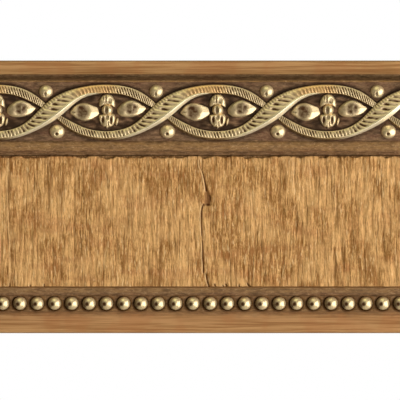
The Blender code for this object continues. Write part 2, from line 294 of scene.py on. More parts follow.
class Finish:
    """A procedural material, with the piece's coordinates at hand in millimetres."""

    def __init__(self, name):
        self.material = bpy.data.materials.new(name)
        self.material.use_nodes = True
        self.tree = self.material.node_tree
        self.shader = self.tree.nodes["Principled BSDF"]
        found = self.node("ShaderNodeTexCoord", output="Object")
        self.place = self.node(
            "ShaderNodeVectorMath", {"operation": "SCALE"}, {"Vector": found, "Scale": 1 / MM}
        )
        split = self.node("ShaderNodeSeparateXYZ", {}, {"Vector": self.place}, output=None)
        self.x, self.y, self.z = (Signal(self.tree, split.outputs[axis]) for axis in "XYZ")

    def node(self, kind, settings=None, sockets=None, output=0):
        """Adds a node with its settings and its sockets, and gives one of its outputs."""
        node = self.tree.nodes.new(kind)
        for name, value in (settings or {}).items():
            setattr(node, name, value)
        for name, value in (sockets or {}).items():
            feed(self.tree, node.inputs[name], value)
        if output is None:
            return node
        return Signal(self.tree, node.outputs[output])

    def noise(self, x_size, y_size, z_size, detail=3.0, rough=0.55, shift=0.0, twist=0.0):
        """A noise of 0 to 1 whose spots have the given size in millimetres."""
        stretched = self.node(
            "ShaderNodeMapping",
            {},
            {
                "Vector": self.place,
                "Location": (shift, shift * 0.7, shift * 1.3),
                "Scale": (1 / x_size, 1 / y_size, 1 / z_size),
            },
        )
        sockets = {"Vector": stretched, "Scale": 1.0, "Detail": detail}
        sockets.update({"Roughness": rough, "Distortion": twist})
        return self.node("ShaderNodeTexNoise", {}, sockets)

    def attribute(self, name):
        """A value that the mesh carries at each of its points."""
        return self.node("ShaderNodeAttribute", {"attribute_name": name}, {}, output="Fac")

    def sawn(self):
        """1 on the two sawn ends, where the skin is cut through."""
        half = LENGTH / 2 / MM
        return self.x.sum("ABSOLUTE", self.x).rises(half - 0.06, half - 0.02)

    def blend(self, factor, first, second):
        """Mixes two colours."""
        node = self.node("ShaderNodeMix", {"data_type": "RGBA"}, {}, output=None)
        feed(self.tree, node.inputs[0], factor)
        feed(self.tree, node.inputs[6], first)
        feed(self.tree, node.inputs[7], second)
        return node.outputs[2]

    def coats(self, colour, *coats):
        """Lays coats over a colour, each one a pair: how much of it there is, and its colour."""
        for amount, tone in coats:
            colour = self.blend(amount, colour, tone)
        return colour

    def bump(self, height, distance, strength=1.0):
        """Feeds a relief, given in shares of a distance in metres, to the normal."""
        sockets = {"Height": height, "Distance": distance, "Strength": strength}
        self.set("Normal", self.node("ShaderNodeBump", {}, sockets))

    def set(self, name, value):
        feed(self.tree, self.shader.inputs[name], value)


print("A finish can be painted with:", [name for name in vars(Finish) if not name.startswith("_")])

# %% [markdown]
# ## The section of the moulding
#
# A moulding is the same all along, so its whole form is in its section. These are the
# real sizes of its bands, from the lower edge up, and how far each stands off the wall.
# The packed model has the same ones.

# %% The bands and their depths
LOWER_LEDGE_HEIGHT = 5.5 * MM
SKIRT_HEIGHT = 2.3 * MM
CHANNEL_HEIGHT = 5.55 * MM
LOWER_FILLET_HEIGHT = 2.65 * MM
SEAM_HEIGHT = 0.5 * MM
PANEL_HEIGHT = 45.9 * MM
GROOVE_HEIGHT = 1.5 * MM
UPPER_FILLET_HEIGHT = 3.7 * MM
FIELD_HEIGHT = 20.7 * MM
LIP_HEIGHT = 0.7 * MM
COVE_HEIGHT = 2.3 * MM

LOWER_LEDGE_DEPTH = 8.0 * MM
CHANNEL_EDGE_DEPTH = 12.8 * MM
CHANNEL_CUT = 0.8 * MM
LOWER_FILLET_DEPTH = 14.4 * MM
SEAM_DEPTH = 13.5 * MM
PANEL_LOWER_DEPTH = 14.2 * MM
PANEL_UPPER_DEPTH = 16.0 * MM
GROOVE_DEPTH = 14.8 * MM
FIELD_DEPTH = 17.0 * MM
UPPER_FILLET_RISE = 1.0 * MM
LIP_RISE = 0.6 * MM
UPPER_LEDGE_DEPTH = 12.0 * MM
LEDGE_ROUND = 0.7 * MM
FILLET_ROUND = 0.9 * MM

SKIRT = LOWER_LEDGE_HEIGHT
CHANNEL = SKIRT + SKIRT_HEIGHT
LOWER_FILLET = CHANNEL + CHANNEL_HEIGHT
SEAM = LOWER_FILLET + LOWER_FILLET_HEIGHT
PANEL = SEAM + SEAM_HEIGHT
GROOVE = PANEL + PANEL_HEIGHT
UPPER_FILLET = GROOVE + GROOVE_HEIGHT
FIELD = UPPER_FILLET + UPPER_FILLET_HEIGHT
LIP = FIELD + FIELD_HEIGHT
COVE = LIP + LIP_HEIGHT
UPPER_LEDGE = COVE + COVE_HEIGHT
print(f"The panel runs from {PANEL / MM:.1f} to {GROOVE / MM:.1f} mm above the lower edge")

# %% [markdown]
# ## Drawing the section
#
# Coves, beads and rounded corners are parts of circles, and the flat bands are straight
# runs. The straight runs get rows of points too, because the grain and the cracks are
# carved into those rows later.

# %% Arcs and straight runs


def arc(centre, radii, start, end, steps):
    """Points on an arc from one angle to the other, in degrees, ends included."""
    angles = np.radians(np.linspace(start, end, steps + 1))
    return [(centre[0] + radii[0] * math.cos(a), centre[1] + radii[1] * math.sin(a)) for a in angles]


def straight(start, end, steps):
    """Points on a straight line, ends included."""
    shares = np.linspace(0, 1, steps + 1)
    return [tuple(np.array(start) * (1 - share) + np.array(end) * share) for share in shares]


def lower_rows():
    """The ledge, skirt, bead channel and fillet below the panel."""
    rounding = (LEDGE_ROUND, LEDGE_ROUND)
    skirt = (SKIRT_HEIGHT, CHANNEL_EDGE_DEPTH - LOWER_LEDGE_DEPTH)
    channel_middle = (CHANNEL + CHANNEL_HEIGHT / 2, CHANNEL_EDGE_DEPTH)
    fillet = (LOWER_FILLET + FILLET_ROUND, LOWER_FILLET_DEPTH - FILLET_ROUND)
    return [
        *arc((LEDGE_ROUND, LOWER_LEDGE_DEPTH - LEDGE_ROUND), rounding, 180, 90, 4),
        *straight((LEDGE_ROUND, LOWER_LEDGE_DEPTH), (SKIRT, LOWER_LEDGE_DEPTH), 3),
        *arc((SKIRT, CHANNEL_EDGE_DEPTH), skirt, 270, 355, 7),
        *arc(channel_middle, (CHANNEL_HEIGHT / 2, CHANNEL_CUT), 180, 360, 18),
        *arc(fillet, (FILLET_ROUND, FILLET_ROUND), 180, 90, 4),
        *straight((LOWER_FILLET + FILLET_ROUND, LOWER_FILLET_DEPTH), (SEAM, LOWER_FILLET_DEPTH), 3),
        (SEAM + SEAM_HEIGHT / 2, SEAM_DEPTH),
    ]


def panel_rows():
    """The panel, with closer rows near its edges, which are ragged."""
    slope = (PANEL_UPPER_DEPTH - PANEL_LOWER_DEPTH) / PANEL_HEIGHT

    def face(height):
        return height, PANEL_LOWER_DEPTH + (height - PANEL) * slope

    lower_part = PANEL + 1.8 * MM
    upper_part = GROOVE - 1.6 * MM
    return [
        *straight(face(PANEL), face(lower_part), 5),
        *straight(face(lower_part), face(upper_part), 52),
        *straight(face(upper_part), face(GROOVE), 7),
    ]


def upper_rows():
    """The groove, fillet, ribbon field, lip, cove and ledge above the panel."""
    fillet_middle = (UPPER_FILLET + UPPER_FILLET_HEIGHT / 2, FIELD_DEPTH)
    cove = (COVE_HEIGHT, FIELD_DEPTH - UPPER_LEDGE_DEPTH)
    corner = (HEIGHT - LEDGE_ROUND, UPPER_LEDGE_DEPTH - LEDGE_ROUND)
    return [
        *straight((GROOVE, GROOVE_DEPTH), (UPPER_FILLET, GROOVE_DEPTH), 4),
        *arc(fillet_middle, (UPPER_FILLET_HEIGHT / 2, UPPER_FILLET_RISE), 180, 0, 9),
        *straight((FIELD, FIELD_DEPTH), (LIP, FIELD_DEPTH), 40),
        *arc((LIP + LIP_HEIGHT / 2, FIELD_DEPTH), (LIP_HEIGHT / 2, LIP_RISE), 180, 0, 5),
        *arc((UPPER_LEDGE, FIELD_DEPTH), cove, 185, 270, 8),
        *straight((UPPER_LEDGE, UPPER_LEDGE_DEPTH), (corner[0], UPPER_LEDGE_DEPTH), 3),
        *arc(corner, (LEDGE_ROUND, LEDGE_ROUND), 90, 0, 4),
        (HEIGHT, 0.0),
    ]


section = []
for point in lower_rows() + panel_rows() + upper_rows():
    if not section or math.dist(point, section[-1]) > 0.01 * MM:
        section.append(point)
print(f"The section has {len(section)} points")

# %% [markdown]
# ## Running the section out
#
# By hand one would take the flat back as a plane, pick its lower edge and extrude it
# step by step round the section, until it meets the back's upper edge again. That is
# what this loop does. Then the two open ends are filled and the long edges are
# subdivided, because a carved surface needs points along its length as well.

# %% Helpers for edit mode
MERGE_GAP = 0.002 * MM
NEARLY = 0.1 * MM
LENGTH_CUTS = 21


def pick(piece, kind, rule):
    """In edit mode, selects only the vertices, edges or faces that pass a rule."""
    bpy.ops.object.mode_set(mode="EDIT")
    bpy.ops.mesh.select_mode(type=kind)
    bpy.ops.mesh.select_all(action="DESELECT")
    bpy.ops.object.mode_set(mode="OBJECT")
    points = piece.data.vertices
    for part in {"VERT": points, "EDGE": piece.data.edges, "FACE": piece.data.polygons}[kind]:
        corners = [part.co] if kind == "VERT" else [points[corner].co for corner in part.vertices]
        part.select = bool(rule(corners))
    bpy.ops.object.mode_set(mode="EDIT")


def finish_shape(piece, angle=40):
    """Merges doubles, turns the faces outwards and shades the piece smooth."""
    bpy.ops.object.mode_set(mode="EDIT")
    bpy.ops.mesh.select_all(action="SELECT")
    bpy.ops.mesh.remove_doubles(threshold=MERGE_GAP)
    bpy.ops.mesh.normals_make_consistent(inside=False)
    bpy.ops.object.mode_set(mode="OBJECT")
    bpy.ops.object.shade_smooth_by_angle(angle=math.radians(angle))


def cut_lengthwise(piece):
    """Subdivides the edges that run along X, twice, and leaves edit mode."""
    for _ in range(2):
        pick(piece, "EDGE", lambda ends: abs(ends[0].x - ends[1].x) > NEARLY)
        bpy.ops.mesh.subdivide(number_cuts=LENGTH_CUTS)
    bpy.ops.object.mode_set(mode="OBJECT")


def places_of(piece):
    """The places of a piece's points, one in each row."""
    places = np.empty(len(piece.data.vertices) * 3)
    piece.data.vertices.foreach_get("co", places)
    return places.reshape(-1, 3)


def size_of(piece):
    return f"{piece.name}: {len(piece.data.vertices)} points, {len(piece.data.polygons)} faces"


# %% Extrude the back round the section
bpy.ops.object.select_all(action="DESELECT")
bpy.ops.mesh.primitive_plane_add(size=1, rotation=(math.radians(90), 0, 0))
body = bpy.context.object
body.name = "moulding_body"
body.scale = (LENGTH, HEIGHT, 1)
bpy.ops.object.transform_apply(location=True, rotation=True, scale=True)
pick(body, "EDGE", lambda ends: all(point.z < 0 for point in ends))
here = (0.0, 0.0)
for height, depth in section:
    step = (0, here[1] - depth, height - here[0])
    bpy.ops.mesh.extrude_region_move(TRANSFORM_OT_translate={"value": step})
    here = (height, depth)
bpy.ops.mesh.select_all(action="SELECT")
bpy.ops.mesh.remove_doubles(threshold=MERGE_GAP)
for side in (-1, 1):
    pick(body, "EDGE", lambda ends: all(point.x * side > LENGTH / 2 - NEARLY for point in ends))
    bpy.ops.mesh.edge_face_add()
cut_lengthwise(body)
finish_shape(body, angle=50)
print(size_of(body))

# %% [markdown]
# ## Cracks, chips and nicks
#
# The panel has one long crack with a chip beside it, a few faint ones to either side, and
# small nicks along its lower edge. Each is a path picked from the photo, with
# its breadth at each corner. A point of the mesh that lies near a path is pushed in, and
# the deeper it goes the darker the finish will be, as painted shade, so the depth is also
# written to the mesh as a mark.

# %% Where the damage is
CRACKS = [
    [(199.3, 160, 0.3), (199.5, 165.5, 0.45), (201.6, 170, 0.5), (203, 173.5, 0.7)],
    [(203, 173.5, 0.7), (204.3, 179, 0.9), (205.5, 185, 1.1), (206.4, 190.5, 1.5)],
    [(205.2, 203.2, 0.8), (203.2, 205, 0.9), (201.9, 208.5, 1.0), (201.3, 213, 0.9)],
    [(201.3, 213, 0.9), (201.2, 222, 0.7), (201.5, 231, 0.6), (201.9, 236, 0.3)],
    [(202.4, 241, 0.4), (202.6, 248, 0.8), (202.7, 256, 0.9), (203.3, 266, 0.8), (203.4, 272.3, 1.0)],
    [(206, 273.8, 0.7), (206.4, 277.5, 0.8), (207.1, 281, 0.6), (208.9, 286.6, 0.9)],
    [(207.2, 204.6, 1.2), (209.2, 204.4, 1.3)],
]
FAINT_CRACKS = [
    [(8.4, 160, 1), (8.4, 203, 1), (10.2, 239, 1), (11.5, 272, 1), (10.2, 285, 1)],
    [(251, 191, 0.8), (252.6, 203, 1.2), (253.4, 216, 1.0)],
    [(293, 158, 1.0), (294, 172, 0.8), (295, 186, 0.9)],
    [(310, 160, 0.8), (311, 178, 0.8), (311.4, 190, 0.8)],
    [(230.6, 207, 0.7), (230.4, 220, 0.8)],
    [(336.4, 186, 1.0), (336.6, 200, 1.2), (337, 214, 0.9)],
]
NICKS = [
    [(214.5, 284.6, 1.4), (215.2, 285.8, 1.2)],
    [(222.8, 285.6, 0.8), (223.6, 286.4, 0.8)],
    [(225.4, 284.2, 0.9), (226.6, 285.6, 1.5), (226.2, 284.0, 0.7)],
    [(238.9, 285.2, 1.1), (239.4, 286.4, 0.9)],
    [(247.4, 283.2, 0.9), (248.4, 285.4, 1.2), (250.6, 286.8, 1.0)],
    [(9.8, 283.6, 0.8), (9.4, 286.6, 1.0)],
    [(30, 285.0, 0.8), (30.2, 286.6, 0.9)],
    [(44.2, 284.4, 0.9), (44, 286.6, 0.8)],
]
DAMAGE = ((CRACKS, 1.0), (FAINT_CRACKS, 0.35), (NICKS, 0.8))
CHIP_CENTRE = (204.6, 198.4)
CHIP_SIZE = (7.0, 7.2)
GROOVE_BLOB = (224.5, 7.0)
CRACK_HALF_WIDTH = 0.3 * MM


def nearness(x, z, path):
    """How far points lie from a path in the photo's pixels, as a share of its breadth there."""
    corners = [np.array(on_face(*corner[:2])) for corner in path]
    points = np.stack([x, z], 1)
    nearest = np.full(len(x), 99.0)
    for number, start in enumerate(corners[:-1]):
        along = corners[number + 1] - start
        share = np.clip((points - start) @ along / (along @ along), 0, 1)
        breadth = path[number][2] * (1 - share) + path[number + 1][2] * share
        gap = np.linalg.norm(points - start - share[:, None] * along, axis=1)
        nearest = np.minimum(nearest, gap / (breadth * CRACK_HALF_WIDTH))
    return nearest


def soft(value, start, end):
    """0 up to the start, 1 from the end on, and a smooth slope between."""
    share = np.clip((value - start) / (end - start), 0, 1)
    return share * share * (3 - 2 * share)


def crack_depth(x, z):
    """How deep each point is cut by the cracks and nicks, as a share of a full crack."""
    cut = np.zeros(len(x))
    for paths, strength in DAMAGE:
        for path in paths:
            cut = np.maximum(cut, strength * (1 - soft(nearness(x, z, path), 0, 1.6)))
    return cut


def chip_depth(x, z):
    """The D-shaped chip: it starts flat at its left and ends in a wall at its right."""
    middle_x, middle_z = on_face(*CHIP_CENTRE)
    across = (x - middle_x) / (CHIP_SIZE[0] * PIXEL)
    along = (z - middle_z) / (CHIP_SIZE[1] * PIXEL)
    inside = 1 - soft(np.hypot(np.maximum(across, 0), along), 0.86, 1.04)
    return inside * soft(across, -0.1, 0.05) * (0.45 + 0.55 * np.clip(across, 0, 1))


print("Cracks and nicks:", sum(len(paths) for paths, _ in DAMAGE), "hand-picked paths")

# %% [markdown]
# ## The ribbon's course
#
# Two ribbons weave past each other. Each one is a wave that takes two repeats of the
# pattern, and the two lie one repeat apart. A ribbon is thin along the arcs, swells
# where it climbs over the other, and ends as a thin tail under the next crossing. At the
# crossings it is 0.6 mm wider here than in the packed model, because that came closer to
# the photo.

# %% The wave and its widths
REPEAT = 38.82 * MM
CROSSING_PHASE = -13.6 * MM
LOWER_MARGIN = 0.2 * MM
UPPER_MARGIN = 0.8 * MM
CROSSING_LIFT = 0.35 * MM
WAVE_FULLNESS = 0.42 * MM
TAIL_WIDTH = 1.8 * MM
TAIL_LENGTH = 9.0 * MM
ARC_WIDTH = 3.3 * MM
CROSSING_WIDTH = 6.8 * MM
SWELL_SHIFT = 1.2 * MM
SWELL_REACH = 7.6 * MM
TAIL_RISE = 0.9 * MM
ARC_RISE = 1.9 * MM
CROSSING_RISE = 3.0 * MM

ARC_SWING = (FIELD_HEIGHT - LOWER_MARGIN - UPPER_MARGIN - ARC_WIDTH) / 2
WAVE_AXIS = BOTTOM + FIELD + LOWER_MARGIN + ARC_WIDTH / 2 + ARC_SWING


def wave(along):
    """How far a ribbon's middle lies above the wave's axis, and how steep it is there."""
    phase = math.pi * along / REPEAT
    swing = ARC_SWING + WAVE_FULLNESS
    up = swing * np.sin(phase) + WAVE_FULLNESS * np.sin(3 * phase)
    up = up + CROSSING_LIFT * np.cos(phase) ** 2
    slope = swing * np.cos(phase) + 3 * WAVE_FULLNESS * np.cos(3 * phase)
    slope = slope - CROSSING_LIFT * np.sin(2 * phase)
    return up, slope * math.pi / REPEAT


def ribbon_size(along):
    """A ribbon's width and rise, at a distance along X from its own crossing."""
    end = soft(REPEAT - np.abs(along), 0, TAIL_LENGTH)
    swell = np.exp(-(((along - SWELL_SHIFT) / SWELL_REACH) ** 2))
    width = TAIL_WIDTH + (ARC_WIDTH - TAIL_WIDTH) * end + (CROSSING_WIDTH - ARC_WIDTH) * swell
    rise = TAIL_RISE + (ARC_RISE - TAIL_RISE) * end + (CROSSING_RISE - ARC_RISE) * swell
    return width, rise


def crossings():
    """The places along X where the ribbons cross, some past each end."""
    first = math.floor((-LENGTH / 2 - CROSSING_PHASE) / REPEAT) - 1
    last = math.ceil((LENGTH / 2 - CROSSING_PHASE) / REPEAT) + 1
    return [CROSSING_PHASE + REPEAT * number for number in range(first, last + 1)]


def ribbon_gap(x, z):
    """How far points on the field lie from the edge of the nearest ribbon."""
    nearest = np.full(len(x), 1.0)
    for crossing in crossings():
        along = np.clip(x - crossing, -REPEAT, REPEAT)
        up, slope = wave(along)
        away = np.abs(z - WAVE_AXIS - up) / np.hypot(1, slope) + np.abs(x - crossing - along)
        nearest = np.minimum(nearest, away - ribbon_size(along)[0] / 2)
    return nearest


print(f"A ribbon swings {ARC_SWING / MM:.2f} mm to each side and is {REPEAT * 2 / MM:.1f} mm long")

# %% [markdown]
# ## Carving the body
#
# The grain of the panel runs up and down, so its furrows are long in Z and narrow in X.
# The dark groove above the panel has a torn lower edge, and each bead sits in a round
# socket. All of it is reckoned for each point at once and then pushed straight in or
# out. Marks for the finish are kept as well: painted shade beside the ribbons and inside
# their eyes, and glaze with painted shade round the beads.

# %% The surface, point by point
BEAD_PITCH = 6.083 * MM
BEAD_PHASE = -2.53 * MM
BEAD_CLEARANCE = 0.425 * MM
BEAD_RADIUS = CHANNEL_HEIGHT / 2 - BEAD_CLEARANCE
BEAD_AXIS = BOTTOM + CHANNEL + CHANNEL_HEIGHT / 2


def grain(x, z, x_size, z_size, shift=0.0):
    """Noise of about -1 to 1, with spots of the given size."""
    return np.array([noise.noise(Vector((a / x_size + shift, b / z_size, shift))) for a, b in zip(x, z)])


def panel_relief(x, z):
    """The panel's furrows, in metres in or out."""
    strong = 0.85 + 0.4 * soft(x, on_face(225, 0)[0], on_face(300, 0)[0])
    broad = grain(x, z, 1.5 * MM, 11 * MM, 3.1)
    fine = grain(x, z, 0.7 * MM, 4 * MM, 7.7)
    knots = grain(x, z, 2.4 * MM, 5 * MM, 2.6)
    swell = grain(x, z, 5 * MM, 8 * MM, 1.9)
    furrows = 0.28 * soft(-broad, 0.08, 0.5) - 0.1 * fine - 0.16 * knots
    return -MM * strong * furrows + 0.3 * MM * swell


def torn_edge(x):
    """How far the groove's lower edge is torn down into the panel."""
    short = grain(x, x * 0, 1.3 * MM, 1, 5.5)
    long = grain(x, x * 0, 4.5 * MM, 1, 8.8)
    blob_x = on_face(GROOVE_BLOB[0], 0)[0]
    blob = 1 - soft(np.abs(x - blob_x), 0.4 * MM, GROOVE_BLOB[1] * PIXEL)
    return np.maximum(0.3 * MM + 0.45 * MM * short + 1.1 * MM * long, 0) + 0.5 * MM * blob


def nearest_bead(x):
    """How far along each point is from the nearest bead's middle."""
    return np.abs((x - BEAD_PHASE + BEAD_PITCH / 2) % BEAD_PITCH - BEAD_PITCH / 2)


def mark(piece, name, values):
    """Writes a value of 0 to 1 for each point, for the finish to read."""
    attribute = piece.data.attributes.new(name, "FLOAT", "POINT")
    attribute.data.foreach_set("value", np.asarray(values, np.float32))


# %% Push the points in and out
CRACK_CUT = 0.7 * MM
CHIP_CUT = 0.75 * MM
CRACK_LIP_LEFT = 0.4 * MM
CRACK_LIP_RISE = 0.15 * MM
SOCKET_RISE = 0.55 * MM
GLAZE_AND_SHADE_LEFT = 0.4 * MM
GLAZE_AND_SHADE_DOWN = 0.25 * MM
SHADE_EASED_BELOW = 0.45
SLACK = 0.05 * MM

places = places_of(body)
x, y, z = places.T
height = z - BOTTOM
face = y < -0.5 * LOWER_LEDGE_DEPTH


def band(lowest, highest):
    """Which points of the face lie between two heights."""
    return face & (height > lowest) & (height < highest)


on_panel = band(PANEL - SLACK, GROOVE + SLACK)
off_ends = 1 - soft(np.abs(x), LENGTH / 2 - 0.2 * MM, LENGTH / 2 - 0.02 * MM)

cracks = crack_depth(x, z) * on_panel
# Each crack's left lip is raised a little and is painted pale later, a painted highlight on its lit edge.
crack_lip_and_highlight = crack_depth(x + CRACK_LIP_LEFT, z) * (1 - cracks) * on_panel
chip = chip_depth(x, z) * on_panel
edge = GROOVE - torn_edge(x)
torn = soft(height, edge - 0.12 * MM, edge + 0.12 * MM) * on_panel
out = np.where(on_panel, panel_relief(x, z) * off_ends, 0)
out = out - CRACK_CUT * cracks - CHIP_CUT * chip + CRACK_LIP_RISE * crack_lip_and_highlight
out = out - (PANEL_UPPER_DEPTH - GROOVE_DEPTH) * torn

in_channel = band(CHANNEL + SLACK, LOWER_FILLET - SLACK)
from_bead = np.hypot(nearest_bead(x), z - BEAD_AXIS)
rise_between = soft(from_bead, BEAD_RADIUS + 0.1 * MM, BEAD_RADIUS + 0.75 * MM)
out = out + np.where(in_channel, SOCKET_RISE * rise_between, 0)
# Round each bead a dark ring is painted: glaze in the socket, moved left and down so that it is also
# painted shade on the bead's shaded side.
near_beads = band(SKIRT, LOWER_FILLET + 0.7 * MM)
from_glaze_and_shade = np.hypot(nearest_bead(x + GLAZE_AND_SHADE_LEFT), z - BEAD_AXIS + GLAZE_AND_SHADE_DOWN)
socket = near_beads * (1 - soft(from_glaze_and_shade, BEAD_RADIUS, BEAD_RADIUS + 0.9 * MM))

on_field = band(FIELD - SLACK, LIP + SLACK)
gap = ribbon_gap(x, z)
arch = ARC_SWING * np.abs(np.sin(math.pi * (x - CROSSING_PHASE) / REPEAT))
eye = soft(arch - np.abs(z - WAVE_AXIS), 0.2 * MM, 1.5 * MM)
in_eye = eye * (0.6 + 1.3 * grain(x, z, 2.6 * MM, 1.2 * MM, 9.4))
# Painted shade: the field is darkened beside the ribbons and inside their eyes, less below the ribbons.
beside_ribbon = 1 - soft(gap, 0.25 * MM, 1.3 * MM)
beside_ribbon = beside_ribbon * (1 - SHADE_EASED_BELOW * (z < WAVE_AXIS) * (1 - eye))
shade = np.maximum(beside_ribbon, in_eye) * on_field
on_dark = band(UPPER_FILLET, COVE)
speckle = 0.1 * grain(x, z, 4 * MM, 1.3 * MM, 4.4) + 0.07 * grain(x, z, 1.2 * MM, 0.8 * MM, 6.6)
out = out + np.where(on_dark, MM * speckle, 0)
places[:, 1] = y - out
body.data.vertices.foreach_set("co", places.ravel())
marks = {"crack": cracks, "lip": crack_lip_and_highlight, "chip": chip, "torn": torn, "socket": socket, "shade": shade}
for name, values in marks.items():
    mark(body, name, np.clip(values, 0, 1))
body.data.update()
print(size_of(body), f"and its deepest crack is {CRACK_CUT / MM:.2f} mm")

# %% [markdown]
# ## One ribbon
#
# At its crossing a ribbon has a smooth round rim along its lower side, slanting hollows
# in its middle and a finely notched upper edge. Along the arcs the rim sinks to a plain
# flank, and the hollows close up to thin ribs. A tube is a good start for it: it is
# closed, and its faces run in rings. Its rings are spread along the wave, and each ring
# is pressed into the ribbon's section, with two of its points deep inside the body.

# %% Where a ribbon has its rim and its ribs
RIM_REACH = 18.6 * MM
ARC_RIB_PITCH = 1.03 * MM
CROSSING_RIB_PITCH = 2.6 * MM
PITCH_REACH = 9.0 * MM
ARC_RIB_ANGLE = math.radians(-72)
CROSSING_RIB_ANGLE = math.radians(-8)
NOTCH_PITCH = 1.05 * MM
RIBS_FADE = (3.5 * MM, 7 * MM)
RIBS_RETURN = (17 * MM, 27 * MM)
TOP_ARC_START = (6 * MM, 12 * MM)
TOP_ARC_END = (19 * MM, 27 * MM)


def rim_of(along):
    """How much of the width the rim or flank takes, and how far it is a round rim."""
    share = 0.12 + 0.15 * soft(RIM_REACH - along, 0, 8 * MM)
    roundness = soft(along, -RIM_REACH, -9 * MM) * soft(RIM_REACH - along, 0, 5 * MM)
    return share, roundness


def ribs_of(along):
    """The pitch of the ribs, how far they lean over, and how deep they are."""
    swell = np.exp(-((along / PITCH_REACH) ** 2))
    pitch = ARC_RIB_PITCH + (CROSSING_RIB_PITCH - ARC_RIB_PITCH) * swell
    course = np.arctan(wave(along)[1])
    angle = ARC_RIB_ANGLE + (CROSSING_RIB_ANGLE - ARC_RIB_ANGLE) * soft(swell, 0.1, 0.75)
    lean = -np.cos(angle - course) / np.sin(angle - course)
    faint = soft(along, *RIBS_FADE) * (1 - soft(along, *RIBS_RETURN))
    return pitch, lean, 1 - 0.6 * faint, swell


rim_share, rim_round = rim_of(np.array([-20.0, 0.0, 20.0]) * MM)
print("Rim shares before, at and after the crossing:", rim_share.round(2), rim_round.round(2))

# %% Press a tube into the ribbon
RIM_POINTS = 9
RING_POINTS = 36
ROOT_DEPTH = 1.2 * MM


def ring_sides(number, rim_share):
    """Where each point of a ring lies across the ribbon, from -1 below to 1 above."""
    last = RING_POINTS - 3
    on_rim = number <= RIM_POINTS
    rim_side = -1 + rim_share * (1 - np.cos(math.pi * number / RIM_POINTS))
    step = np.clip((number - RIM_POINTS) / (last - RIM_POINTS), 0, 1)
    band_side = -1 + 2 * rim_share + 2 * (1 - rim_share) * np.sin(math.pi / 2 * step ** 1.15)
    return np.where(on_rim, rim_side, band_side), on_rim


def shape_ribbon(piece):
    """Spreads the tube's rings along the wave and presses them into the section."""
    co = places_of(piece)
    turn = np.arctan2(co[:, 2], co[:, 1]) / (2 * math.pi) * RING_POINTS
    number = np.rint(turn).astype(int) % RING_POINTS
    stations, station = np.unique(np.round(co[:, 0], 7), return_inverse=True)
    course = stations * 2 * REPEAT
    up, slope = wave(course)
    steps = np.diff(course, prepend=course[0]) * np.hypot(1, slope)
    count = np.cumsum(steps / ribs_of(course)[0])[station]
    notches = np.cumsum(steps / NOTCH_PITCH)[station]
    along, up, slope = course[station], up[station], slope[station]
    width, rise = ribbon_size(along)
    share, roundness = rim_of(along)
    pitch, lean, strength, swell = ribs_of(along)

    root = number >= RING_POINTS - 2
    side, on_rim = ring_sides(np.minimum(number, RING_POINTS - 3), share)
    side = np.where(root, np.where(number == RING_POINTS - 2, 1.0, -1.0), side)
    rim_across = np.clip((side + 1) / (2 * share), 0, 1)
    across = np.clip((side + 1 - 2 * share) / (2 - 2 * share), 0, 1)

    round_rim = 0.38 + 0.62 * np.clip(rim_across / 0.75, 0, 1) ** 0.8 - 0.14 * soft(rim_across, 0.75, 1)
    flank = 0.15 + 0.6 * rim_across
    rim_height = flank + (round_rim - flank) * roundness
    band_height = 0.25 + 0.6 * np.sqrt(np.clip(1 - across**2.6, 0, 1))
    high = np.where(on_rim, rim_height, band_height)

    top_arc = soft(along, *TOP_ARC_START) * (1 - soft(along, *TOP_ARC_END))
    reach = 0.97 - 0.2 * swell - 0.1 * top_arc
    open_part = soft(across, 0.0, 0.06 + 0.12 * swell) * (1 - soft(across, reach - 0.2, reach))
    phase = count + lean * side * width / 2 / pitch
    ripple = 0.5 - 0.5 * np.cos(2 * math.pi * phase)
    uneven = 1 + 1.1 * grain(along, side * width, 2.2 * MM, 3.0 * MM, 3.3)
    hollow = soft(ripple, 0.25 + 0.1 * swell, 0.85) * open_part * strength * uneven
    notch = (0.5 - 0.5 * np.cos(2 * math.pi * notches)) * soft(across, 0.66, 0.8) * swell
    cut = ripple * open_part * strength * uneven * (0.2 + 0.05 * swell) + 0.1 * notch
    depth = np.where(root, -ROOT_DEPTH, rise * (high - cut * ~on_rim))

    steep = np.hypot(1, slope)
    co[:, 0] = along - slope / steep * side * width / 2
    co[:, 1] = -FIELD_DEPTH - depth
    co[:, 2] = WAVE_AXIS + up + side * width / 2 / steep
    piece.data.vertices.foreach_set("co", co.ravel())
    # The lower flank along the arcs is darkened, and the ribbon's edges where it meets the field get
    # glaze and painted shade.
    low_flank = on_rim * (1 - roundness) * (1 - soft(rim_across, 0.7, 1.0)) * 0.85
    foot = (side < -0.94) * 0.8 + soft(across, 0.93, 1.0) * 0.7
    mark(piece, "hollow", np.clip(hollow * ~on_rim + 0.5 * notch + low_flank + foot, 0, 1))
    # The round rim is marked pale as a painted highlight; the bands away from the top arc get a paler
    # gold.
    mark(piece, "pale", np.clip(on_rim * (0.2 + 0.8 * roundness) + 0.5 * (1 - top_arc) * ~on_rim, 0, 1))
    mark(piece, "warm", np.clip(top_arc * ~on_rim, 0, 1))


print(f"A ring has {RING_POINTS} points, and {RIM_POINTS} of them are on the rim")

# %% Model one ribbon
bpy.ops.object.select_all(action="DESELECT")
bpy.ops.mesh.primitive_cylinder_add(
    vertices=RING_POINTS, radius=0.1, depth=1, rotation=(0, math.radians(90), 0)
)
ribbon = bpy.context.object
ribbon.name = "ribbon_pattern"
bpy.ops.object.transform_apply(location=True, rotation=True, scale=True)
cut_lengthwise(ribbon)
shape_ribbon(ribbon)
finish_shape(ribbon, angle=180)
print(size_of(ribbon))

# %% [markdown]
# ## Sawing the ends
#
# The pattern runs on past both ends, and the piece is cut square. A bisect at each end
# with its cut filled leaves a closed shape, as a saw does.

# %% Copies of a pattern, cut to the length
gilded = []


